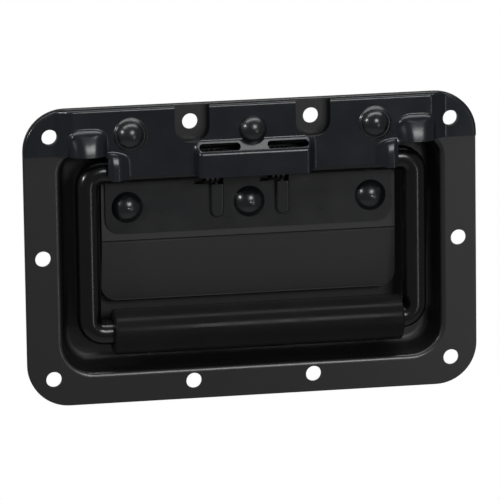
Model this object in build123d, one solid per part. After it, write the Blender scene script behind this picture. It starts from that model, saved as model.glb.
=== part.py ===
from build123d import *
import math
import os

# Recessed pull handle: a sprung bail with a grip sleeve folds flat into a pressed dish.
# Millimetres. X runs across, Z is up and the front faces -Y. Levels are measured forward
# from the mounting face, which is the back of the flange.

# Dish
flange_width = 152.4
flange_height = 100.0
flange_corner = 14.0
flange_edge_round = 0.4
sheet = 1.5
recess_side_inset = 12.2
recess_bottom_inset = 10.8
recess_depth = 13.0
recess_draft = 8.0
recess_bottom_corner = 10.5
recess_top_corner = 6.7
recess_floor_round = 2.5
lip_round = 2.0

# Raised centre panel of the dish
panel_side_gap = 5.5
panel_corner = 5.0
panel_bend_drop = 2.9
panel_foot_above_grip = 9.5
panel_foot_drop = 2.2
crease_width = 1.0
crease_depth = 0.35

# Fixing holes, measured in from the edges of the flange
hole_d = 5.3
corner_hole_inset_x = 8.8
corner_hole_inset_z = 9.1
mid_hole_x = 20.3
mid_hole_inset = 6.1
side_hole_inset = 6.0

# Bail
bail_d = 8.0
bail_bend = 4.8
bail_side_room = 8.9
bail_end_gap = 2.4
pivot_below_top = 21.8
pivot_level = 0.6
grip_above_recess = 13.2
running_clearance = 0.05

# Grip sleeve
grip_d = 14.0
grip_bore_clearance = 0.15
grip_end_room = 7.6
grip_offset = 1.3
grip_end_round = 2.0

# Torsion springs
wire_d = 1.4
wire_sides = 8
coil_clearance = 0.3
coil_pitch = 1.62
coil_turns = 3.5
coil_starts = (-16.6, 5.5)
coil_room = 0.8
pocket_half_width = 18.7
leg_room = 1.0
leg_foot_above_rib = 1.5

# Hinge cover
cover_sheet = 1.2
cover_wrap = 0.35
cover_side_gap = 0.8
cover_side_inset = 15.4
cover_below_pivot = 1.15
cover_corner = 1.5
form_rise = 2.6
form_wall = 0.5
form_round = 1.2
form_tail = 20.0
hood_offset = 0.2
hood_width = 13.0
hood_top_inset = 5.8
hood_step = 0.4
hood_lip_tilt = 12.0
hood_top_tilt = 28.0
hood_side_angle = 48.0
hood_round = 1.6
knuckle_width = 8.9
knuckle_top_above_pivot = 7.5
knuckle_slope = 3.8
knuckle_ramp = 2.8
housing_half_width = 21.2
housing_top_above_pivot = 9.4
housing_side_slope = 3.4
housing_ramp = 3.0
housing_dip = 1.2
slot_inner_x = 3.4
slot_outer_x = 17.2
slot_above_pivot = 6.7
slot_width = 1.9
notch_width = 11.7
notch_below_hole = 6.3
notch_corner = 5.2
ear_overlap = 0.2
ear_run = 2.9
ear_lean = 0.45
ear_round = 1.0
cover_edge_round = 0.6

# Lower plate
plate_sheet = 1.0
plate_side_gap = 1.2
plate_groove = 0.35
plate_below_rivet = 8.8
plate_corner = 5.0
plate_top_gap = 1.6
leg_rib_width = 4.9
leg_rib_room = 0.4
leg_rib_above_edge = 4.0
leg_rib_draft = 12.0
leg_rib_round = 0.7
window_margin = 1.2

# Rivets
rivet_inset = 7.3
upper_rivet_inset = 9.0
lower_rivet_below_pivot = 13.1
shank_d = 5.0
upper_dome_d = 9.4
lower_dome_d = 10.5
dome_rise = 3.0
upper_tail_d = 6.6
upper_tail_rise = 1.2
lower_tail_d = 7.6
lower_tail_rise = 1.6
tail_bevel = 0.4
boss_rise = 1.4
boss_d = 8.2
boss_slope = 1.0
boss_room = 0.3
dimple_d = 9.8
dimple_slope = 1.4
dimple_wall = 0.4

# Places that follow from the flange and the bail
half_width = flange_width / 2
half_height = flange_height / 2
recess_half_width = half_width - recess_side_inset
recess_bottom = recess_bottom_inset - half_height
corner_hole_x = half_width - corner_hole_inset_x
corner_hole_z = half_height - corner_hole_inset_z
mid_hole_z = half_height - mid_hole_inset
side_hole_x = half_width - side_hole_inset
bail_half_width = recess_half_width - bail_side_room
pivot_z = half_height - pivot_below_top
grip_axis_z = recess_bottom + grip_above_recess
grip_length = 2 * (bail_half_width - grip_end_room)
panel_half_width = bail_half_width - panel_side_gap
panel_foot_z = grip_axis_z + panel_foot_above_grip
cover_half_centre = panel_half_width - cover_side_gap
cover_side_z = half_height - cover_side_inset
cover_low_z = pivot_z - cover_below_pivot
hood_x = bail_half_width + hood_offset
hood_top_z = half_height - hood_top_inset
ear_x = hood_x + hood_width / 2 - ear_overlap
knuckle_inner_x = cover_half_centre - knuckle_width
knuckle_top_z = pivot_z + knuckle_top_above_pivot
housing_top_z = pivot_z + housing_top_above_pivot
slot_low_z = pivot_z + slot_above_pivot
notch_low_z = mid_hole_z - notch_below_hole
plate_half_width = panel_half_width - plate_side_gap
rivet_x = plate_half_width - rivet_inset
upper_rivet_z = half_height - upper_rivet_inset
lower_rivet_z = pivot_z - lower_rivet_below_pivot
plate_low_z = lower_rivet_z - plate_below_rivet
panel_bend_z = plate_low_z - panel_bend_drop
leg_rib_low_z = plate_low_z + leg_rib_above_edge
leg_foot_z = leg_rib_low_z + leg_foot_above_rib

# Levels that follow from the bail and the sheets
bail_r = bail_d / 2
seat_r = bail_r + running_clearance
cover_under = pivot_level + seat_r - cover_wrap
cover_front = cover_under + cover_sheet
crest = cover_front + form_rise
plate_front = pivot_level - seat_r + plate_groove
plate_back = plate_front - plate_sheet
coil_r = bail_r + coil_clearance + wire_d / 2
coil_outer = coil_r + wire_d / 2
pocket_low_z = pivot_z - coil_outer - coil_room
pocket_level = pivot_level - coil_outer - coil_room
recess_top = pivot_z + coil_outer + coil_room
floor_level = sheet - recess_depth
coil_length = coil_pitch * coil_turns
leg_rib_rise = wire_d + leg_rib_room
leg_level = plate_back + wire_d / 2 + 0.15
boss_top = sheet + boss_rise


def level(height):
    """The plane that many millimetres in front of the mounting face."""
    return Plane.XZ.offset(height)


def slab(sketch, low, high, taper=0):
    """Extrudes forward from the low level to the high one; a taper narrows it on the way."""
    return extrude(level(low) * sketch, high - low, taper=taper)


def box(x0, x1, z0, z1, low, high):
    """A block between two X, two Z and two levels."""
    sketch = Pos((x0 + x1) / 2, (z0 + z1) / 2) * Rectangle(x1 - x0, z1 - z0)
    return slab(sketch, low, high)


def frustum(x, z, low_r, high_r, low, high):
    """A round step whose radius changes between two levels."""
    solid = loft([level(low) * Pos(x, z) * Circle(low_r), level(high) * Pos(x, z) * Circle(high_r)])
    return solid


def disc(x, z, radius, low, high):
    """A round block between two levels."""
    return slab(Pos(x, z) * Circle(radius), low, high)


def rod(x0, x1, radius):
    """A bar along the hinge axis."""
    plane = Plane((x0, -pivot_level, pivot_z), x_dir=(0, 1, 0), z_dir=(1, 0, 0))
    return extrude(plane * Circle(radius), x1 - x0)


def recess_sketch(grow):
    """The recess opening, enlarged all round."""
    bottom_r = recess_bottom_corner + grow
    top_r = recess_top_corner + grow
    half = recess_half_width + grow
    top = recess_top + grow
    bottom = recess_bottom - grow
    outline = Polygon((-half, bottom), (half, bottom), (half, top), (-half, top), align=None)
    low_corners = outline.vertices().group_by(Axis.Y)[0]
    outline = fillet(low_corners, bottom_r)
    high_corners = [v for v in outline.vertices() if abs(v.Y - top) < 0.01]
    return fillet(high_corners, top_r)


def recess(grow):
    """The space inside the dish, narrowing toward its floor."""
    depth = recess_depth + grow
    solid = extrude(Plane.XZ.offset(sheet) * recess_sketch(grow), -depth, taper=recess_draft)
    floor_edges = solid.edges().group_by(Axis.Y)[-1]
    return fillet(floor_edges, recess_floor_round + grow)


def panel(shrink):
    """The raised centre panel: flat above the bend, then sloping back to its foot."""
    top_level = plate_back - shrink
    foot_level = top_level - panel_foot_drop
    deep = floor_level - 5
    rise = top_level - deep
    spread = rise * math.tan(math.radians(recess_draft))
    half = panel_half_width - shrink + spread
    foot = panel_foot_z + shrink - spread
    high = recess_top + 10
    outline = Polygon((-half, foot), (half, foot), (half, high), (-half, high), align=None)
    outline = fillet(outline.vertices().group_by(Axis.Y)[0], panel_corner - shrink + spread)
    prism = slab(outline, deep, top_level, taper=recess_draft)
    side = Polygon(
        (-deep, foot - 1),
        (-foot_level, foot - 1),
        (-foot_level, panel_foot_z),
        (-top_level, panel_bend_z - crease_width / 2),
        (crease_depth - top_level, panel_bend_z),
        (-top_level, panel_bend_z + crease_width / 2),
        (-top_level, high + 1),
        (-deep, high + 1),
        align=None,
    )
    cutter = extrude(Plane.YZ * side, half + 1, both=True)
    return prism & cutter


def spring_pocket(grow):
    """The hollow pressed in the panel behind the coils and the tops of their legs."""
    half = pocket_half_width + grow
    return box(-half, half, pocket_low_z - leg_room - grow, recess_top + 5, pocket_level - grow, plate_back + 1)


def make_dish():
    flange = slab(RectangleRounded(flange_width, flange_height, flange_corner), 0, sheet)
    flange = fillet(flange.edges().group_by(Axis.Y)[0], flange_edge_round)
    hollow = recess(0) - panel(0)
    pocket = spring_pocket(0) & recess(0)
    behind = panel(sheet) - spring_pocket(sheet)
    body = flange + recess(sheet) - hollow - pocket - behind
    lip = body.edges().filter_by_position(Axis.Y, -sheet - 0.01, -sheet + 0.01)
    lip = [e for e in lip if abs(e.center().X) < recess_half_width + 0.1 and e.center().Z < recess_top + 0.1]
    lip = [e for e in lip if e.center().Z > recess_bottom - 0.1]
    body = fillet(lip, lip_round)
    for x in (-rivet_x, 0, rivet_x):
        boss_r = boss_d / 2
        body += frustum(x, upper_rivet_z, boss_r + boss_slope, boss_r, sheet / 2, boss_top)
        tail_r = upper_tail_d / 2 + boss_room
        body -= frustum(x, upper_rivet_z, tail_r + boss_slope / 2, tail_r, -0.5, boss_rise)
        body -= disc(x, upper_rivet_z, shank_d / 2, -1, boss_top + 1)
        body -= disc(x, lower_rivet_z, shank_d / 2, floor_level, plate_front)
    for x, z in hole_places():
        body -= disc(x, z, hole_d / 2, -1, sheet + 1)
    return body


def hole_places():
    """Where the fixing holes are."""
    places = [(x, z) for x in (-corner_hole_x, corner_hole_x) for z in (-corner_hole_z, corner_hole_z)]
    places += [(x, z) for x in (-mid_hole_x, mid_hole_x) for z in (-mid_hole_z, mid_hole_z)]
    places += [(-side_hole_x, 0), (side_hole_x, 0)]
    return places


def hood(centre, shrink):
    """A scoop over one shoulder of the bail: it starts with a low step and rises to its open lip."""
    radius = hood_width / 2 - shrink
    top = hood_top_z - hood_width / 2
    base = Pos(centre, top) * Circle(radius)
    base += Pos(centre, top - form_tail / 2) * Rectangle(2 * radius, form_tail)
    low = cover_front - (cover_sheet if shrink else 0)
    run = hood_top_z - cover_side_z
    middle = math.radians((hood_top_tilt + hood_lip_tilt) / 2)
    start = (-low - hood_step, hood_top_z)
    lip = (start[0] - run * math.tan(middle), cover_side_z)
    steep = math.radians(90 + hood_top_tilt)
    roof_arc = TangentArc(start, lip, tangent=(math.cos(steep), -math.sin(steep)))
    end_tilt = math.tan(math.radians(hood_lip_tilt))
    tail = (lip[0] - form_tail / 2 * end_tilt, cover_side_z - form_tail / 2)
    side = roof_arc + Polyline(lip, tail, (1 - low, tail[1]), (1 - low, hood_top_z), start)
    wedge = extrude(Plane.YZ.offset(centre) * make_face(side), radius + 1, both=True)
    prism = slab(base, low, low + 2 * form_rise, taper=hood_side_angle)
    scoop = prism & wedge
    if not shrink:
        ridge = [e for e in scoop.edges() if e.center().Z > tail[1] + 1 and e.center().Y < -low - 0.3]
        scoop = fillet([e for e in ridge if abs(e.center().X - centre) < radius - 0.5], hood_round)
    return scoop + slab(base, cover_under - (1 if shrink else 0), low)


def block_form(x0, x1, top, left, right, ramp, shrink):
    """A flat-topped pressed form with sloping sides and top, open below."""
    drop = cover_sheet if shrink else 0
    low = cover_under - 1 if shrink else cover_under
    bottom = cover_low_z - form_tail / 2
    a = x0 + shrink
    b = x1 - shrink
    t = top - shrink
    base = Pos((a + b) / 2, (bottom + t) / 2) * Rectangle(b - a, t - bottom)
    c = a + left
    d = b - right
    s = t - ramp
    face = Pos((c + d) / 2, (bottom + s) / 2) * Rectangle(d - c, s - bottom)
    bump = loft([level(cover_front - drop) * base, level(crest - drop) * face])
    if not shrink:
        bump = fillet(bump.faces().sort_by(Axis.Y)[0].edges(), form_round)
    return bump + slab(base, low, cover_front - drop)


def cover_forms(shrink):
    """The hoods, the knuckles and the spring housing of the cover."""
    forms = hood(-hood_x, shrink) + hood(hood_x, shrink)
    outer = cover_half_centre + 4
    slope = knuckle_slope
    forms += block_form(knuckle_inner_x, outer, knuckle_top_z, slope, 0, knuckle_ramp, shrink)
    forms += block_form(-outer, -knuckle_inner_x, knuckle_top_z, 0, slope, knuckle_ramp, shrink)
    half = housing_half_width
    side = housing_side_slope
    forms += block_form(-half, half, housing_top_z, side, side, housing_ramp, shrink)
    return forms


def cover_outline():
    """The flat outline of the cover."""
    top = half_height
    half = cover_half_centre
    frame = RectangleRounded(flange_width, flange_height, flange_corner)
    band = Pos(0, (top + cover_side_z) / 2) * Rectangle(flange_width, top - cover_side_z)
    apron = Pos(0, (cover_low_z + top) / 2) * Rectangle(2 * half, top - cover_low_z)
    outline = frame & (band + apron)
    corners = [v for v in outline.vertices() if abs(v.Y - cover_low_z) < 0.01]
    outline = fillet(corners, cover_corner)
    dip = housing_half_width - housing_side_slope
    low = cover_low_z - housing_dip
    return outline + Pos(0, low + 2) * RectangleRounded(2 * dip, 4, 0.8)


def cup(x, z, radius, slope, seat):
    """The solid of a dimple pressed back from the cover to a seat level."""
    back = frustum(x, z, radius + dimple_wall, radius + slope + dimple_wall, seat, cover_under)
    return back + disc(x, z, radius + slope + dimple_wall, cover_under, cover_front)


def cup_hollow(x, z, radius, slope, seat):
    """The hollow of the same dimple, open to the front."""
    hollow = frustum(x, z, radius, radius + slope, seat + cover_sheet, cover_front)
    return hollow + disc(x, z, radius, cover_front, crest + 2)


def cover_sheet_body():
    """The bent sheet: it stands off the flange and steps down to it at both ends."""
    foot_x = ear_x + ear_run
    front = sheet + cover_sheet
    right = [(ear_x, cover_under), (foot_x, sheet), (half_width, sheet), (half_width, front)]
    right += [(foot_x + ear_lean, front), (ear_x + ear_lean, cover_front)]
    left = [(-x, height) for x, height in reversed(right)]
    outline = Polygon(*[(x, -height) for x, height in right + left], align=None)
    bends = [v for v in outline.vertices() if abs(v.X) < half_width - 1]
    outline = fillet(bends, ear_round)
    bent = extrude(Plane.XY.offset(cover_low_z - 5) * outline, flange_height, dir=(0, 0, 1))
    bent &= slab(cover_outline(), 0, crest)
    top_edge = bent.edges().group_by(Axis.Z)[-1].sort_by(Axis.Y)[0]
    return fillet(top_edge, cover_edge_round)


def make_cover():
    body = cover_sheet_body()
    body += cover_forms(0) & slab(cover_outline(), cover_under, crest + 1)
    body -= cover_forms(form_wall)
    for x in (-rivet_x, 0, rivet_x):
        body += cup(x, upper_rivet_z, dimple_d / 2, dimple_slope, boss_top)
        body -= cup_hollow(x, upper_rivet_z, dimple_d / 2, dimple_slope, boss_top)
        body -= disc(x, upper_rivet_z, shank_d / 2, 0, crest)
    for x in (-corner_hole_x, corner_hole_x):
        body -= disc(x, corner_hole_z, hole_d / 2, 0, crest)
    body -= rod(-cover_half_centre - 1, cover_half_centre + 1, seat_r)
    for side in (-1, 1):
        notch = Pos(side * mid_hole_x, notch_low_z + 10) * RectangleRounded(notch_width, 20, notch_corner)
        body -= slab(notch, 0, crest + 1)
        slot_x = side * (slot_inner_x + slot_outer_x) / 2
        slot = SlotOverall(slot_outer_x - slot_inner_x, slot_width)
        body -= slab(Pos(slot_x, slot_low_z + slot_width / 2) * slot, 0, crest + 1)
    return body & slab(RectangleRounded(flange_width, flange_height, flange_corner), 0, crest + 1)


def leg_x(start):
    """Where the leg of a spring that starts at this X runs."""
    return start + coil_length


def leg_rib(start, wall, low, high):
    """The channel over a spring leg, or the hollow inside it, with a round lower end."""
    width = leg_rib_width - 2 * wall
    bottom = leg_rib_low_z + wall
    tall = pocket_low_z + leg_rib_width - bottom
    sketch = Pos(leg_x(start), bottom + tall / 2) * SlotOverall(tall, width, rotation=90)
    return slab(sketch, low, high, taper=leg_rib_draft)


def make_plate():
    top = recess_top - plate_top_gap
    tall = top - plate_low_z
    outline = Pos(0, plate_low_z + tall / 2) * Rectangle(2 * plate_half_width, tall)
    outline = fillet(outline.vertices().group_by(Axis.Y)[0], plate_corner)
    body = slab(outline, plate_back, plate_front)
    for start in coil_starts:
        rib = leg_rib(start, 0, plate_front, plate_front + leg_rib_rise)
        body += fillet(rib.edges().group_by(Axis.Y)[0], leg_rib_round)
        body -= leg_rib(start, plate_sheet, plate_back, plate_back + leg_rib_rise)
        x0 = start - wire_d / 2 - window_margin
        x1 = leg_x(start) + wire_d / 2 + window_margin
        body -= box(x0, x1, pocket_low_z, pivot_z + coil_outer + coil_room / 2, plate_back - 1, crest)
    body -= rod(-plate_half_width - 1, plate_half_width + 1, seat_r)
    for x in (-rivet_x, 0, rivet_x):
        body -= disc(x, lower_rivet_z, shank_d / 2, plate_back - 1, plate_front + 1)
    return body


def make_rivet(x, z, seat, dome_d, tail_level, tail_d, tail_rise):
    """A domed rivet: head on its seat, shank through the sheets, and the formed tail."""
    radius = dome_d / 2
    ball = (radius ** 2 + dome_rise ** 2) / (2 * dome_rise)
    edge = [
        Polyline(
            (0, tail_level - tail_rise),
            (tail_d / 2 - tail_bevel, tail_level - tail_rise),
            (tail_d / 2, tail_level),
            (shank_d / 2, tail_level),
            (shank_d / 2, seat),
            (radius, seat),
        ),
        RadiusArc((radius, seat), (0, seat + dome_rise), -ball),
        Line((0, seat + dome_rise), (0, tail_level - tail_rise)),
    ]
    face = make_face(Curve() + edge)
    solid = revolve(face, Axis.Y)
    return Pos(x, 0, z) * Rot(0, 0, 180) * solid


def make_bail():
    half = bail_half_width
    gap = bail_end_gap / 2
    path = FilletPolyline(
        (-gap, 0, pivot_z),
        (-half, 0, pivot_z),
        (-half, 0, grip_axis_z),
        (half, 0, grip_axis_z),
        (half, 0, pivot_z),
        (gap, 0, pivot_z),
        radius=bail_bend,
    )
    section = Plane((-gap, 0, pivot_z), z_dir=(-1, 0, 0)) * Circle(bail_r)
    body = sweep(section, path=path)
    body = chamfer(body.edges().filter_by_position(Axis.X, -gap - 0.01, gap + 0.01), 0.5)
    return Pos(0, -pivot_level, 0) * body


def make_grip():
    bore = bail_r + grip_bore_clearance
    ring = Circle(grip_d / 2) - Circle(bore)
    plane = Plane((grip_offset, -pivot_level, grip_axis_z), x_dir=(0, 1, 0), z_dir=(1, 0, 0))
    body = extrude(plane * ring, grip_length / 2, both=True)
    ends = body.edges().filter_by(GeomType.CIRCLE).filter_by(lambda e: e.radius > bore + 1)
    return fillet(ends, grip_end_round)


def make_spring(start):
    """A torsion spring around one end of the bail, with its fixed leg in the rib."""
    end = leg_x(start)
    coil = Helix(coil_pitch, coil_length, coil_r, lefthand=True)
    wire = sweep(Plane(coil @ 0, z_dir=coil % 0) * RegularPolygon(wire_d / 2, wire_sides), path=coil, is_frenet=True)
    turned = Plane((start, -pivot_level, pivot_z), x_dir=(0, -1, 0), z_dir=(1, 0, 0)) * wire
    top = (end, coil_r - pivot_level, pivot_z)
    knee = (end, -leg_level, pocket_low_z - 0.8)
    foot = (end, -leg_level, leg_foot_z)
    leg = FilletPolyline(top, knee, foot, radius=0.6)
    leg_body = sweep(Plane(top, z_dir=leg % 0) * Circle(wire_d / 2), path=leg)
    return turned + Pos(*top) * Sphere(wire_d / 2 + 0.05) + leg_body


def build_all():
    """Every separate piece by name."""
    pieces = {
        "dish": make_dish(),
        "hinge_cover": make_cover(),
        "lower_plate": make_plate(),
        "bail": make_bail(),
        "grip_sleeve": make_grip(),
        "torsion_spring_left": make_spring(coil_starts[0]),
        "torsion_spring_right": make_spring(coil_starts[1]),
    }
    seat = boss_top + cover_sheet
    for place, x in (("left", -rivet_x), ("middle", 0), ("right", rivet_x)):
        pieces["upper_rivet_" + place] = make_rivet(
            x, upper_rivet_z, seat, upper_dome_d, boss_rise, upper_tail_d, upper_tail_rise
        )
        pieces["lower_rivet_" + place] = make_rivet(
            x, lower_rivet_z, plate_front, lower_dome_d, plate_back - sheet, lower_tail_d, lower_tail_rise
        )
    return pieces


os.makedirs("parts", exist_ok=True)
for name, piece in build_all().items():
    solids = piece.solids()
    print(name, len(solids), [round(v, 2) for v in piece.bounding_box().size])
    export_step(piece, "parts/" + name + ".step")
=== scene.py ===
import math

import bmesh
import bpy
import numpy as np
from mathutils import Matrix, Vector


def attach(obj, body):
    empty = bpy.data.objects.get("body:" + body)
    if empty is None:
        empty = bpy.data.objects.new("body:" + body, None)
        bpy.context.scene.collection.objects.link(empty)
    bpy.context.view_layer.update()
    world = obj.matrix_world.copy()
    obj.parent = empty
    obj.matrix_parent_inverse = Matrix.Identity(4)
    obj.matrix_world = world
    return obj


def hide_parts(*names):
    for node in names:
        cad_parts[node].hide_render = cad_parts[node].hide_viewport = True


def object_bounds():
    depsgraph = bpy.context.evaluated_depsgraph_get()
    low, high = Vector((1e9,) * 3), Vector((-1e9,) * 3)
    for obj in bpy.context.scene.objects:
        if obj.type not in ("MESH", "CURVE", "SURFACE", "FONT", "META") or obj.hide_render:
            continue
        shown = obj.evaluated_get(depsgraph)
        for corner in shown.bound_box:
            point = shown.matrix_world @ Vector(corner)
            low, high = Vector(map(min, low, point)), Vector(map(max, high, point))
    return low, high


# Camera, in degrees and metres, with its lens and sensor in millimetres.
# The handle stands upright and its front faces -Y. The camera looks at the middle of the flange's
# front, set a little aside by the two AIM values.
VIEW_AZIMUTH = -10.79
VIEW_ELEVATION = 12.0
VIEW_ROLL = -0.81
VIEW_DISTANCE = 1.8272
LENS = 396.5
SENSOR_WIDTH = 36.0
AIM_RIGHT = 0.0008
AIM_UP = 0.00054
FLANGE_FRONT = -0.0015

# Hinge cover, in millimetres of the handle's own frame. Levels are measured forward from Y 0,
# and a SLOPE is a rise in level for each millimetre downward.
# Each pressed form begins over START_RUN, and its slopes are summed by climb().
MM = 0.001
FLANGE_HALF_WIDTH = 76.2
FLANGE_HALF_HEIGHT = 50.0
FLANGE_CORNER = 14.0
COVER_SHEET = 1.2
COVER_LEVEL = 5.5
EAR_LEVEL = 2.7
EAR_START = 60.0
EAR_RUN = 6.0
EDGE_WIDTH = 1.0
EDGE_DROP = 0.9
START_RUN = 0.3
CLIMB_REACH = 20.0
CLIMB_STEPS = 801

# The cover's lower edge: high at the sides, low in the centre
SIDE_EDGE_Z = 34.6
LOW_EDGE_Z = 27.05
LOW_EDGE_DIP = 1.1
LOW_EDGE_STEPS = 196
CENTRE_HALF = 48.8
CENTRE_CHAMFER = 1.0
CENTRE_CORNER_RISE = 0.8
CENTRE_CORNER_RUN = 1.5

# Hoods over the bail's bends
HOOD_X = 55.3
HOOD_HALF = 6.6
HOOD_TOP_Z = 43.6
HOOD_SAG = 2.7
HOOD_TOP_SLOPE = 0.91
HOOD_TOP_START = 0.5
HOOD_TOP_RUN = 2.0
HOOD_MIDDLE_SLOPE = 0.4
HOOD_LIP_SLOPE = 0.16
HOOD_LIP_START = 3.2
HOOD_LIP_RUN = 5.6
HOOD_SQUARE_POWER = 9
HOOD_ROUND_POWER = 3
HOOD_ROUND_RUN = 2.5

# Knuckles over the ends of the bail's hinge bar
KNUCKLE_START = 41.2
KNUCKLE_RUN = 4.4
KNUCKLE_SIDE_POWER = 0.8
KNUCKLE_END = 50.5
KNUCKLE_END_RUN = 3.5
KNUCKLE_TOP_Z = 35.7
KNUCKLE_BOW = 0.03
KNUCKLE_TOP_SLOPE = 0.95
KNUCKLE_TOP_START = 0.3
KNUCKLE_TOP_RUN = 1.5
KNUCKLE_MIDDLE_SLOPE = 0.37
KNUCKLE_LIP_SLOPE = 0.05
KNUCKLE_LIP_START = 1.5
KNUCKLE_LIP_RUN = 4.0

# Spring housing
HOUSING_HALF = 21.0
HOUSING_RUN = 3.2
HOUSING_TOP_Z = 38.0
HOUSING_SLOPE = 0.88
HOUSING_FACE = 3.1
HOUSING_FADE = 1.8

# Slots, notches and holes in the cover
SLOT_INNER = 4.5
SLOT_OUTER = 18.4
SLOT_Z = 35.85
SLOT_HALF = 1.15
NOTCH_X = 20.3
NOTCH_HALF = 5.85
NOTCH_LOW_Z = 37.6
NOTCH_CORNER = 5.2
HOLE_X = 67.4
HOLE_Z = 40.9
HOLE_RADIUS = 2.65

# Meshes
GRID = 0.34
BLANK_MARGIN = 2.0
TRIM_LEVEL = 14.0
CORNER_STEPS = 24
HOLE_SIDES = 48
SHANK_SIDES = 24
TURN_SIDES = 72
SHARP_ANGLE = 40.0

# Upper rivets and the raised seats under the two outer ones
RIVET_X = 41.1
RIVET_Z = 41.0
SEAT_LEVEL = 6.2
SEAT_RADIUS = 4.8
SEAT_RUN = 1.0
SEAT_SINK = 0.1
DOME_RADIUS = 4.5
DOME_BALL = 5.4
DOME_STEPS = 25
SEAT_STEPS = 13
SHANK_RADIUS = 2.5
TAIL_RADIUS = 3.3
TAIL_LEVEL = 1.4
TAIL_BACK = 0.2
TAIL_BEVEL = 0.4

# Grip sleeve
SLEEVE_RADIUS = 7.6
SLEEVE_BORE = 4.15
SLEEVE_LEFT = -47.3
SLEEVE_RIGHT = 50.3
SLEEVE_ROUND = 0.9
SLEEVE_LEVEL = 0.6
SLEEVE_Z = -26.0

# The dish's gloss, and the depths behind the mounting face, in metres, over which painted shade darkens
# the recess and its gloss dulls
DISH_ROUGHNESS = 0.32
RECESS_ROUGHNESS = 0.5
RECESS_START = 0.001
RECESS_SHADE_AND_DULL = 0.004

# Stage, in metres, and lamps: name, azimuth, elevation, distance, width, height and watts
FLOOR_GAP = 0.8
FLOOR_SIZE = 2.4
FLOOR_GREY = 0.6
WORLD_LEVEL = 0.15
LAMPS = (
    ("key", 13.5, 20, 1.1, 0.34, 0.28, 3.1),
    ("overhead", 8, 73, 1.1, 2.0, 0.26, 7.8),
    ("strip", 28, -12, 1.2, 0.11, 0.3, 0.42),
    ("left_spot", -62, 22, 1.1, 0.08, 0.08, 2.8),
)


def direction(azimuth, elevation):
    """The unit vector from the handle toward a place round it; azimuth 0 is straight in front."""
    a = math.radians(azimuth)
    e = math.radians(elevation)
    return Vector((math.sin(a) * math.cos(e), -math.cos(a) * math.cos(e), math.sin(e)))


def add_camera():
    """The camera, rolled a little about its line of sight."""
    back = direction(VIEW_AZIMUTH, VIEW_ELEVATION)
    a = math.radians(VIEW_AZIMUTH)
    right = Vector((math.cos(a), math.sin(a), 0))
    up = back.cross(right)
    roll = math.radians(VIEW_ROLL)
    x_axis = right * math.cos(roll) + up * math.sin(roll)
    y_axis = up * math.cos(roll) - right * math.sin(roll)
    place = back * VIEW_DISTANCE - x_axis * AIM_RIGHT - y_axis * AIM_UP
    place.y += FLANGE_FRONT
    turn = Matrix((x_axis, y_axis, back)).transposed().to_4x4()
    data = bpy.data.cameras.new("camera")
    data.lens = LENS
    data.sensor_width = SENSOR_WIDTH
    camera = bpy.data.objects.new("camera", data)
    camera.matrix_world = Matrix.Translation(place) @ turn
    bpy.context.collection.objects.link(camera)
    bpy.context.scene.camera = camera


def add_softbox(name, azimuth, elevation, distance, width, height, watts):
    """A rectangular lamp that faces the handle."""
    data = bpy.data.lights.new(name, "AREA")
    data.shape = "RECTANGLE"
    data.size = width
    data.size_y = height
    data.energy = watts
    lamp = bpy.data.objects.new(name, data)
    way = direction(azimuth, elevation)
    lamp.location = way * distance
    lamp.rotation_euler = way.to_track_quat("Z", "Y").to_euler()
    bpy.context.collection.objects.link(lamp)


def white_for_camera(tree, shader, output):
    """Shows plain white to the camera while other rays see the shader."""
    path = tree.nodes.new("ShaderNodeLightPath")
    is_world = output.bl_idname == "ShaderNodeOutputWorld"
    white = tree.nodes.new("ShaderNodeBackground" if is_world else "ShaderNodeEmission")
    white.inputs["Color"].default_value = (1, 1, 1, 1)
    white.inputs["Strength"].default_value = 1.0
    mix = tree.nodes.new("ShaderNodeMixShader")
    tree.links.new(path.outputs["Is Camera Ray"], mix.inputs[0])
    tree.links.new(shader.outputs[0], mix.inputs[1])
    tree.links.new(white.outputs[0], mix.inputs[2])
    tree.links.new(mix.outputs[0], output.inputs["Surface"])


def add_stage():
    """A grey floor and a dim world, which both look plain white to the camera."""
    material = bpy.data.materials.new("stage_white")
    material.use_nodes = True
    tree = material.node_tree
    shader = tree.nodes["Principled BSDF"]
    shader.inputs["Base Color"].default_value = (FLOOR_GREY, FLOOR_GREY, FLOOR_GREY, 1)
    shader.inputs["Roughness"].default_value = 0.9
    white_for_camera(tree, shader, tree.nodes["Material Output"])
    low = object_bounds()[0][2]
    half = FLOOR_SIZE / 2
    floor = bpy.data.meshes.new("floor")
    z = low - FLOOR_GAP
    corners = [(-half, -half, z), (half, -half, z), (half, half, z), (-half, half, z)]
    floor.from_pydata(corners, [], [(0, 1, 2, 3)])
    floor.materials.append(material)
    piece = bpy.data.objects.new("floor", floor)
    bpy.context.collection.objects.link(piece)
    world = bpy.data.worlds.new("world")
    bpy.context.scene.world = world
    world.use_nodes = True
    tree = world.node_tree
    background = tree.nodes["Background"]
    background.inputs["Color"].default_value = (1, 1, 1, 1)
    background.inputs["Strength"].default_value = WORLD_LEVEL
    white_for_camera(tree, background, tree.nodes["World Output"])


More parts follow.
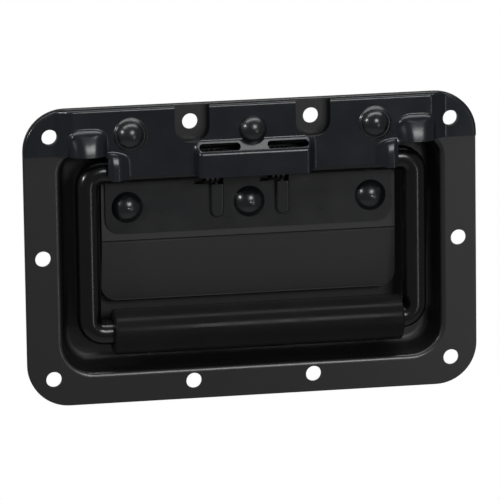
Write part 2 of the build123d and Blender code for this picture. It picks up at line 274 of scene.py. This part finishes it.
class Paint:
    """Builds one material around a Principled shader, in metres of the handle's own frame."""

    def __init__(self, name, colour, roughness, metallic=0.0, specular=0.5):
        self.material = bpy.data.materials.new(name)
        self.material.use_nodes = True
        self.tree = self.material.node_tree
        self.shader = self.tree.nodes["Principled BSDF"]
        self.colour = colour
        self.shader.inputs["Base Color"].default_value = (*colour, 1)
        self.shader.inputs["Roughness"].default_value = roughness
        self.shader.inputs["Metallic"].default_value = metallic
        self.shader.inputs["Specular IOR Level"].default_value = specular
        self.roughness = roughness
        self.place = self.tree.nodes.new("ShaderNodeTexCoord").outputs["Object"]
        self.normal = None

    def noise(self, size, detail=2.0, rough=0.5):
        """Noise whose blobs are about that many metres across."""
        node = self.tree.nodes.new("ShaderNodeTexNoise")
        node.inputs["Scale"].default_value = 1.0 / size
        node.inputs["Detail"].default_value = detail
        node.inputs["Roughness"].default_value = rough
        self.tree.links.new(self.place, node.inputs["Vector"])
        return node.outputs["Fac"]

    def ramp(self, source, low, high, from_value, to_value):
        """Maps a grey value between two limits onto two new values."""
        node = self.tree.nodes.new("ShaderNodeMapRange")
        node.inputs["From Min"].default_value = low
        node.inputs["From Max"].default_value = high
        node.inputs["To Min"].default_value = from_value
        node.inputs["To Max"].default_value = to_value
        self.tree.links.new(source, node.inputs["Value"])
        return node.outputs["Result"]

    def bump(self, source, depth):
        """Adds relief of that many metres."""
        node = self.tree.nodes.new("ShaderNodeBump")
        node.inputs["Strength"].default_value = 1.0
        node.inputs["Distance"].default_value = depth
        self.tree.links.new(source, node.inputs["Height"])
        if self.normal is not None:
            self.tree.links.new(self.normal, node.inputs["Normal"])
        self.normal = node.outputs["Normal"]
        self.tree.links.new(self.normal, self.shader.inputs["Normal"])

    def vary_roughness(self, source, spread):
        """Lets the roughness wander by that much to either side."""
        value = self.ramp(source, 0.3, 0.7, self.roughness - spread, self.roughness + spread)
        self.tree.links.new(value, self.shader.inputs["Roughness"])

    def tint(self, source, low, high, colour):
        """Blends toward another colour where the source is above the low limit."""
        mask = self.ramp(source, low, high, 0.0, 1.0)
        mix = self.tree.nodes.new("ShaderNodeMix")
        mix.data_type = "RGBA"
        mix.inputs["A"].default_value = (*self.colour, 1)
        mix.inputs["B"].default_value = (*colour, 1)
        self.tree.links.new(mask, mix.inputs["Factor"])
        self.tree.links.new(mix.outputs["Result"], self.shader.inputs["Base Color"])


def orange_peel(paint):
    """The fine and the slow relief of a sprayed coat."""
    paint.bump(paint.noise(0.0011, 2.0), 0.000012)
    paint.bump(paint.noise(0.006, 1.0), 0.00003)


def powder_coat(name, level, roughness, specular=0.5, cool=0.05):
    """Glossy black powder coat, from neutral to cool, with a few dust motes."""
    colour = (level * (1 - cool), level, level * (1 + 2 * cool))
    paint = Paint(name, colour, roughness, specular=specular)
    orange_peel(paint)
    paint.vary_roughness(paint.noise(0.009, 4.0), 0.04)
    paint.tint(paint.noise(0.0007, 1.0), 0.74, 0.8, (level * 3, level * 3, level * 3))
    return paint.material


def dish_coat():
    """The dish's powder coat, with painted shade darkening it down in the recess, where it is also
    duller.
    """
    paint = Paint("dish_coat", (0.0065, 0.0065, 0.0069), DISH_ROUGHNESS, specular=0.9)
    orange_peel(paint)
    split = paint.tree.nodes.new("ShaderNodeSeparateXYZ")
    paint.tree.links.new(paint.place, split.inputs[0])
    depth = split.outputs["Y"]
    # Painted shade: the colour darkens toward near black deeper in the recess.
    paint.tint(depth, RECESS_START, RECESS_SHADE_AND_DULL, (0.002, 0.002, 0.002))
    rough = paint.ramp(depth, RECESS_START, RECESS_SHADE_AND_DULL, DISH_ROUGHNESS, RECESS_ROUGHNESS)
    paint.tree.links.new(rough, paint.shader.inputs["Roughness"])
    return paint.material


def soft_rubber(name):
    """Smooth black sleeve rubber with a faint grain and slight rubbed patches."""
    paint = Paint(name, (0.011, 0.011, 0.0113), 0.22, specular=0.06)
    paint.bump(paint.noise(0.0004, 3.0), 0.00001)
    paint.vary_roughness(paint.noise(0.012, 4.0), 0.09)
    paint.tint(paint.noise(0.02, 5.0), 0.45, 0.75, (0.014, 0.014, 0.0142))
    return paint.material


def spring_wire(name):
    """Dark drawn steel wire with an oily bloom."""
    paint = Paint(name, (0.16, 0.155, 0.15), 0.32, metallic=1.0)
    paint.bump(paint.noise(0.0006, 3.0), 0.000008)
    paint.vary_roughness(paint.noise(0.002, 3.0), 0.08)
    paint.tint(paint.noise(0.003, 4.0), 0.4, 0.7, (0.08, 0.075, 0.07))
    return paint.material


def ease(value):
    """0 below 0, 1 above 1 and a smooth rise between."""
    t = np.clip(value, 0.0, 1.0)
    return t * t * (3 - 2 * t)


def climb(distance, slope):
    """The height reached after a distance when the slope changes along the way."""
    steps = np.linspace(0, CLIMB_REACH, CLIMB_STEPS)
    rise = np.cumsum(slope(steps)) * steps[1]
    return np.interp(distance, steps, rise, left=0.0)


def hood_slope(u):
    """The slope down a hood's middle: steep at the top, then easing twice toward the lip."""
    top = (HOOD_TOP_SLOPE - HOOD_MIDDLE_SLOPE) * (1 - ease((u - HOOD_TOP_START) / HOOD_TOP_RUN))
    lip = (HOOD_MIDDLE_SLOPE - HOOD_LIP_SLOPE) * ease((u - HOOD_LIP_START) / HOOD_LIP_RUN)
    return ease(u / START_RUN) * (HOOD_MIDDLE_SLOPE + top - lip)


def hood_level(x, z, centre):
    """How far a hood stands out: square across at the top and rounder toward the lip."""
    across = np.clip(np.abs(x - centre) / HOOD_HALF, 0, 1)
    below = HOOD_TOP_Z - HOOD_SAG * across**4 - z
    squareness = 1 - ease(below / HOOD_ROUND_RUN)
    power = HOOD_ROUND_POWER + (HOOD_SQUARE_POWER - HOOD_ROUND_POWER) * squareness
    return climb(below, hood_slope) * (1 - across**power)


def housing_side(x):
    """1 across the spring housing, easing to 0 past its ends."""
    return ease((HOUSING_HALF - np.abs(x)) / HOUSING_RUN)


def housing_slope(u):
    """The slope down the spring housing: an even ramp, then a flat face."""
    return HOUSING_SLOPE * ease(u / START_RUN) * (1 - ease((u - HOUSING_FACE) / HOUSING_FADE))


def housing_bump(x, z):
    """How far the spring housing stands out."""
    return climb(HOUSING_TOP_Z - z, housing_slope) * housing_side(x)


def knuckle_side(x):
    """0 in the middle of the cover, easing to 1 over the knuckles."""
    return ease((np.abs(x) - KNUCKLE_START) / KNUCKLE_RUN) ** KNUCKLE_SIDE_POWER


def knuckle_slope(u):
    """The slope down a knuckle: steep at the top, nearly flat at the lip."""
    past_top = ease((u - KNUCKLE_TOP_START) / KNUCKLE_TOP_RUN)
    past_middle = ease((u - KNUCKLE_LIP_START) / KNUCKLE_LIP_RUN)
    top = (KNUCKLE_TOP_SLOPE - KNUCKLE_MIDDLE_SLOPE) * (1 - past_top)
    lip = (KNUCKLE_MIDDLE_SLOPE - KNUCKLE_LIP_SLOPE) * past_middle
    return ease(u / START_RUN) * (KNUCKLE_MIDDLE_SLOPE + top - lip)


def knuckle_bump(x, z):
    """How far the two knuckles stand out, under a top edge that bows down toward the middle."""
    top = KNUCKLE_TOP_Z - KNUCKLE_BOW * np.clip(CENTRE_HALF - np.abs(x), 0, None) ** 2
    outer_side = ease((KNUCKLE_END - np.abs(x)) / KNUCKLE_END_RUN)
    return climb(top - z, knuckle_slope) * knuckle_side(x) * outer_side


def cover_level(x, z):
    """The level of the cover's front face, before its rim is rounded."""
    level = COVER_LEVEL - (COVER_LEVEL - EAR_LEVEL) * ease((np.abs(x) - EAR_START) / EAR_RUN)
    level = level + housing_bump(x, z) + knuckle_bump(x, z)
    for side in (-1, 1):
        level = level + hood_level(x, z, side * HOOD_X)
    return level


def rim_distance(x, z):
    """How far a point in the upper half lies inside the flange's round-cornered outline."""
    core_x = FLANGE_HALF_WIDTH - FLANGE_CORNER
    core_z = FLANGE_HALF_HEIGHT - FLANGE_CORNER
    dx = np.abs(x) - core_x
    dz = z - core_z
    outside = np.hypot(np.clip(dx, 0, None), np.clip(dz, 0, None))
    return FLANGE_CORNER - outside - np.clip(np.maximum(dx, dz), None, 0)


def arc(centre_x, centre_z, radius, start, end, steps=12):
    """Points along a circular arc, with its angles in degrees."""
    angles = np.radians(np.linspace(start, end, steps + 1))
    return [(centre_x + radius * math.cos(a), centre_z + radius * math.sin(a)) for a in angles]


def circle(centre_x, centre_z, radius, sides):
    """Points round a full circle."""
    return arc(centre_x, centre_z, radius, 0, 360 - 360 / sides, sides - 1)


def cover_outline():
    """The cover's outline as one closed loop of (x, z) points."""
    core_x = FLANGE_HALF_WIDTH - FLANGE_CORNER
    core_z = FLANGE_HALF_HEIGHT - FLANGE_CORNER
    loop = [(FLANGE_HALF_WIDTH, SIDE_EDGE_Z)]
    loop += arc(core_x, core_z, FLANGE_CORNER, 0, 90, CORNER_STEPS)
    inset = NOTCH_HALF - NOTCH_CORNER
    for centre in (NOTCH_X, -NOTCH_X):
        loop.append((centre + NOTCH_HALF, FLANGE_HALF_HEIGHT))
        loop += arc(centre + inset, NOTCH_LOW_Z + NOTCH_CORNER, NOTCH_CORNER, 0, -90)
        loop += arc(centre - inset, NOTCH_LOW_Z + NOTCH_CORNER, NOTCH_CORNER, -90, -180)
        loop.append((centre - NOTCH_HALF, FLANGE_HALF_HEIGHT))
    loop += arc(-core_x, core_z, FLANGE_CORNER, 90, 180, CORNER_STEPS)
    loop += [(-FLANGE_HALF_WIDTH, SIDE_EDGE_Z), (-CENTRE_HALF - CENTRE_CHAMFER, SIDE_EDGE_Z)]
    loop.append((-CENTRE_HALF, SIDE_EDGE_Z - CENTRE_CHAMFER))
    for x in np.linspace(-CENTRE_HALF, CENTRE_HALF, LOW_EDGE_STEPS):
        swell = float(housing_side(x) + knuckle_side(x))
        corner = float(1 - ease((CENTRE_HALF - abs(x)) / CENTRE_CORNER_RUN))
        loop.append((float(x), LOW_EDGE_Z - LOW_EDGE_DIP * swell + CENTRE_CORNER_RISE * corner))
    loop += [(CENTRE_HALF, SIDE_EDGE_Z - CENTRE_CHAMFER), (CENTRE_HALF + CENTRE_CHAMFER, SIDE_EDGE_Z)]
    return loop


def slot_loop(side):
    """One through slot above the spring housing."""
    inner = SLOT_INNER + SLOT_HALF
    outer = SLOT_OUTER - SLOT_HALF
    loop = arc(outer, SLOT_Z, SLOT_HALF, -90, 90) + arc(inner, SLOT_Z, SLOT_HALF, 90, 270)
    return [(side * x, z) for x, z in loop]


def prism(name, loops, low, high):
    """A solid with the first loop as its outline and the others as holes, between two levels."""
    mesh = bmesh.new()
    edges = []
    for loop in loops:
        ring = [mesh.verts.new((x * MM, -low * MM, z * MM)) for x, z in loop]
        edges += [mesh.edges.new((ring[i], ring[(i + 1) % len(ring)])) for i in range(len(ring))]
    fill = bmesh.ops.triangle_fill(mesh, edges=edges, use_beauty=True)
    faces = [f for f in fill["geom"] if isinstance(f, bmesh.types.BMFace)]
    raised = bmesh.ops.extrude_face_region(mesh, geom=faces)["geom"]
    for v in [v for v in raised if isinstance(v, bmesh.types.BMVert)]:
        v.co.y = -high * MM
    bmesh.ops.recalc_face_normals(mesh, faces=mesh.faces)
    return new_object(name, mesh)


def new_object(name, mesh):
    """Turns a finished bmesh into an object."""
    data = bpy.data.meshes.new(name)
    mesh.to_mesh(data)
    mesh.free()
    piece = bpy.data.objects.new(name, data)
    bpy.context.collection.objects.link(piece)
    return piece


def smooth(mesh):
    """Smooth shading that keeps sharp edges crisp."""
    for polygon in mesh.polygons:
        polygon.use_smooth = True
    mesh.set_sharp_from_angle(angle=math.radians(SHARP_ANGLE))


def pressed_blank():
    """The pressed sheet before trimming: a grid on its front face and one on its back."""
    half = FLANGE_HALF_WIDTH + BLANK_MARGIN
    low = LOW_EDGE_Z - LOW_EDGE_DIP - BLANK_MARGIN
    xs = np.arange(-half, half + GRID, GRID)
    zs = np.arange(low, FLANGE_HALF_HEIGHT + BLANK_MARGIN + GRID, GRID)
    x, z = np.meshgrid(xs, zs)
    level = cover_level(x, z)
    near = np.clip(1 - rim_distance(x, z) / EDGE_WIDTH, 0, 1)
    front = level - EDGE_DROP * (1 - np.sqrt(1 - near**2))
    back = level - COVER_SHEET
    mesh = bmesh.new()
    rows, columns = x.shape
    layers = []
    for heights in (front, back):
        layers.append([
            [mesh.verts.new((x[i, j] * MM, -heights[i, j] * MM, z[i, j] * MM)) for j in range(columns)]
            for i in range(rows)
        ])
    for layer in layers:
        for i in range(rows - 1):
            for j in range(columns - 1):
                mesh.faces.new((layer[i][j], layer[i][j + 1], layer[i + 1][j + 1], layer[i + 1][j]))
    bridge_rims(mesh, layers, rows, columns)
    bmesh.ops.recalc_face_normals(mesh, faces=mesh.faces)
    return new_object("pressed_cover", mesh)


def bridge_rims(mesh, layers, rows, columns):
    """Closes the four sides between the front grid and the back grid."""
    rim = [(0, j) for j in range(columns)] + [(i, columns - 1) for i in range(1, rows)]
    rim += [(rows - 1, j) for j in range(columns - 2, -1, -1)] + [(i, 0) for i in range(rows - 2, 0, -1)]
    front, back = layers
    for k, (i, j) in enumerate(rim):
        m, n = rim[(k + 1) % len(rim)]
        mesh.faces.new((front[i][j], front[m][n], back[m][n], back[i][j]))


def pressed_cover():
    """The pressed hinge cover with soft forms, trimmed to its outline, holes and slots."""
    blank = pressed_blank()
    loops = [cover_outline(), slot_loop(-1), slot_loop(1)]
    loops += [circle(side * HOLE_X, HOLE_Z, HOLE_RADIUS, HOLE_SIDES) for side in (-1, 1)]
    loops += [circle(side * RIVET_X, RIVET_Z, SHANK_RADIUS, SHANK_SIDES) for side in (-1, 0, 1)]
    trim = prism("cover_trim", loops, 0.0, TRIM_LEVEL)
    cut = blank.modifiers.new("trim", "BOOLEAN")
    cut.operation = "INTERSECT"
    cut.solver = "EXACT"
    cut.object = trim
    graph = bpy.context.evaluated_depsgraph_get()
    shaped = bpy.data.meshes.new_from_object(blank.evaluated_get(graph))
    blank.modifiers.clear()
    blank.data = shaped
    bpy.data.objects.remove(trim)
    smooth(shaped)
    return blank


def turned(name, profile, centre, along):
    """A solid turned round an axis from (radius, distance) points.

    It closes where the profile meets the axis, and a profile that starts off it is a closed ring.
    """
    up = Vector((0, 0, 1))
    across = up.cross(along)
    angles = [math.tau * i / TURN_SIDES for i in range(TURN_SIDES)]
    mesh = bmesh.new()
    rings = []
    for radius, distance in profile:
        base = centre + along * distance
        if radius:
            rings.append([
                mesh.verts.new((base + (across * math.cos(a) + up * math.sin(a)) * radius) * MM)
                for a in angles
            ])
        else:
            rings.append([mesh.verts.new(base * MM)] * TURN_SIDES)
    if profile[0][0]:
        rings.append(rings[0])
    for near, far in zip(rings, rings[1:]):
        for i in range(TURN_SIDES):
            j = (i + 1) % TURN_SIDES
            mesh.faces.new(list(dict.fromkeys((near[i], far[i], far[j], near[j]))))
    bmesh.ops.recalc_face_normals(mesh, faces=mesh.faces)
    piece = new_object(name, mesh)
    smooth(piece.data)
    return piece


def stand_for(piece, node, body, material):
    """Puts a piece in the place of a carried-over node."""
    piece.data.materials.clear()
    piece.data.materials.append(material)
    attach(piece, body)
    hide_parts(node)


def rivet(name, x, raised):
    """A domed rivet: head, shank and the formed tail, with its raised seat where there is one."""
    rim = math.sqrt(DOME_BALL**2 - DOME_RADIUS**2)
    radii = np.linspace(0, DOME_RADIUS, DOME_STEPS)
    profile = [(float(r), SEAT_LEVEL + math.sqrt(DOME_BALL**2 - r * r) - rim) for r in radii]
    if raised:
        run = np.linspace(0, 1, SEAT_STEPS)
        drop = (SEAT_LEVEL - COVER_LEVEL) * ease(run)
        profile += [(SEAT_RADIUS + SEAT_RUN * float(t), SEAT_LEVEL - float(d)) for t, d in zip(run, drop)]
    foot = COVER_LEVEL - SEAT_SINK
    profile += [(profile[-1][0], foot), (SHANK_RADIUS, foot), (SHANK_RADIUS, TAIL_LEVEL)]
    profile += [(TAIL_RADIUS, TAIL_LEVEL), (TAIL_RADIUS - TAIL_BEVEL, TAIL_BACK), (0, TAIL_BACK)]
    return turned(name, profile, Vector((x, 0, RIVET_Z)), Vector((0, -1, 0)))


def sleeve(name):
    """The grip sleeve, a tube with softened ends."""
    round_end = arc(SLEEVE_RADIUS - SLEEVE_ROUND, 0, SLEEVE_ROUND, 0, 90, 6)
    profile = [(r, SLEEVE_RIGHT - SLEEVE_ROUND + d) for r, d in round_end]
    profile += [(SLEEVE_BORE, SLEEVE_RIGHT), (SLEEVE_BORE, SLEEVE_LEFT)]
    profile += [(r, SLEEVE_LEFT + SLEEVE_ROUND - d) for r, d in reversed(round_end)]
    return turned(name, profile, Vector((0, -SLEEVE_LEVEL, SLEEVE_Z)), Vector((1, 0, 0)))


def dress(frame):
    """Gives every piece its finish and puts the finer pieces in place of their nodes."""
    coat = {
        "dish": dish_coat(),
        "hinge_cover": powder_coat("cover_coat", 0.0095, 0.23, cool=0.2),
        "lower_plate": powder_coat("plate_coat", 0.015, 0.3),
        "bail": powder_coat("bail_coat", 0.003, 0.2),
        "rivet": powder_coat("rivet_coat", 0.0075, 0.26, 0.75, 0.12),
        "grip_sleeve": soft_rubber("sleeve_rubber"),
        "spring": spring_wire("spring_wire"),
    }
    for name, piece in frame["nodes"].items():
        kind = [key for key in coat if key in name][0]
        piece.data.materials.clear()
        piece.data.materials.append(coat[kind])
    stand_for(pressed_cover(), "hinge_cover", "housing", coat["hinge_cover"])
    stand_for(sleeve("sleeve"), "grip_sleeve", "bail", coat["grip_sleeve"])
    for place, x, raised in (("left", -RIVET_X, True), ("middle", 0, False), ("right", RIVET_X, True)):
        node = "upper_rivet_" + place
        stand_for(rivet(node + "_turned", x, raised), node, "housing", coat["rivet"])


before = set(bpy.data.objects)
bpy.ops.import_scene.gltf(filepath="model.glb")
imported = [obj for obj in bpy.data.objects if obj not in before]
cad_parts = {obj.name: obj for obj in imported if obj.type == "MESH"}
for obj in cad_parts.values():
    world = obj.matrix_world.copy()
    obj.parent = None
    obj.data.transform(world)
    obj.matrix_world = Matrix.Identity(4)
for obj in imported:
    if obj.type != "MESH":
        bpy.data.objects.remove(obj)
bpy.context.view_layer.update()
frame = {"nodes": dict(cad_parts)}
dress(frame)
add_stage()
add_camera()
for lamp in LAMPS:
    add_softbox(*lamp)
bpy.context.scene.view_settings.view_transform = "Standard"
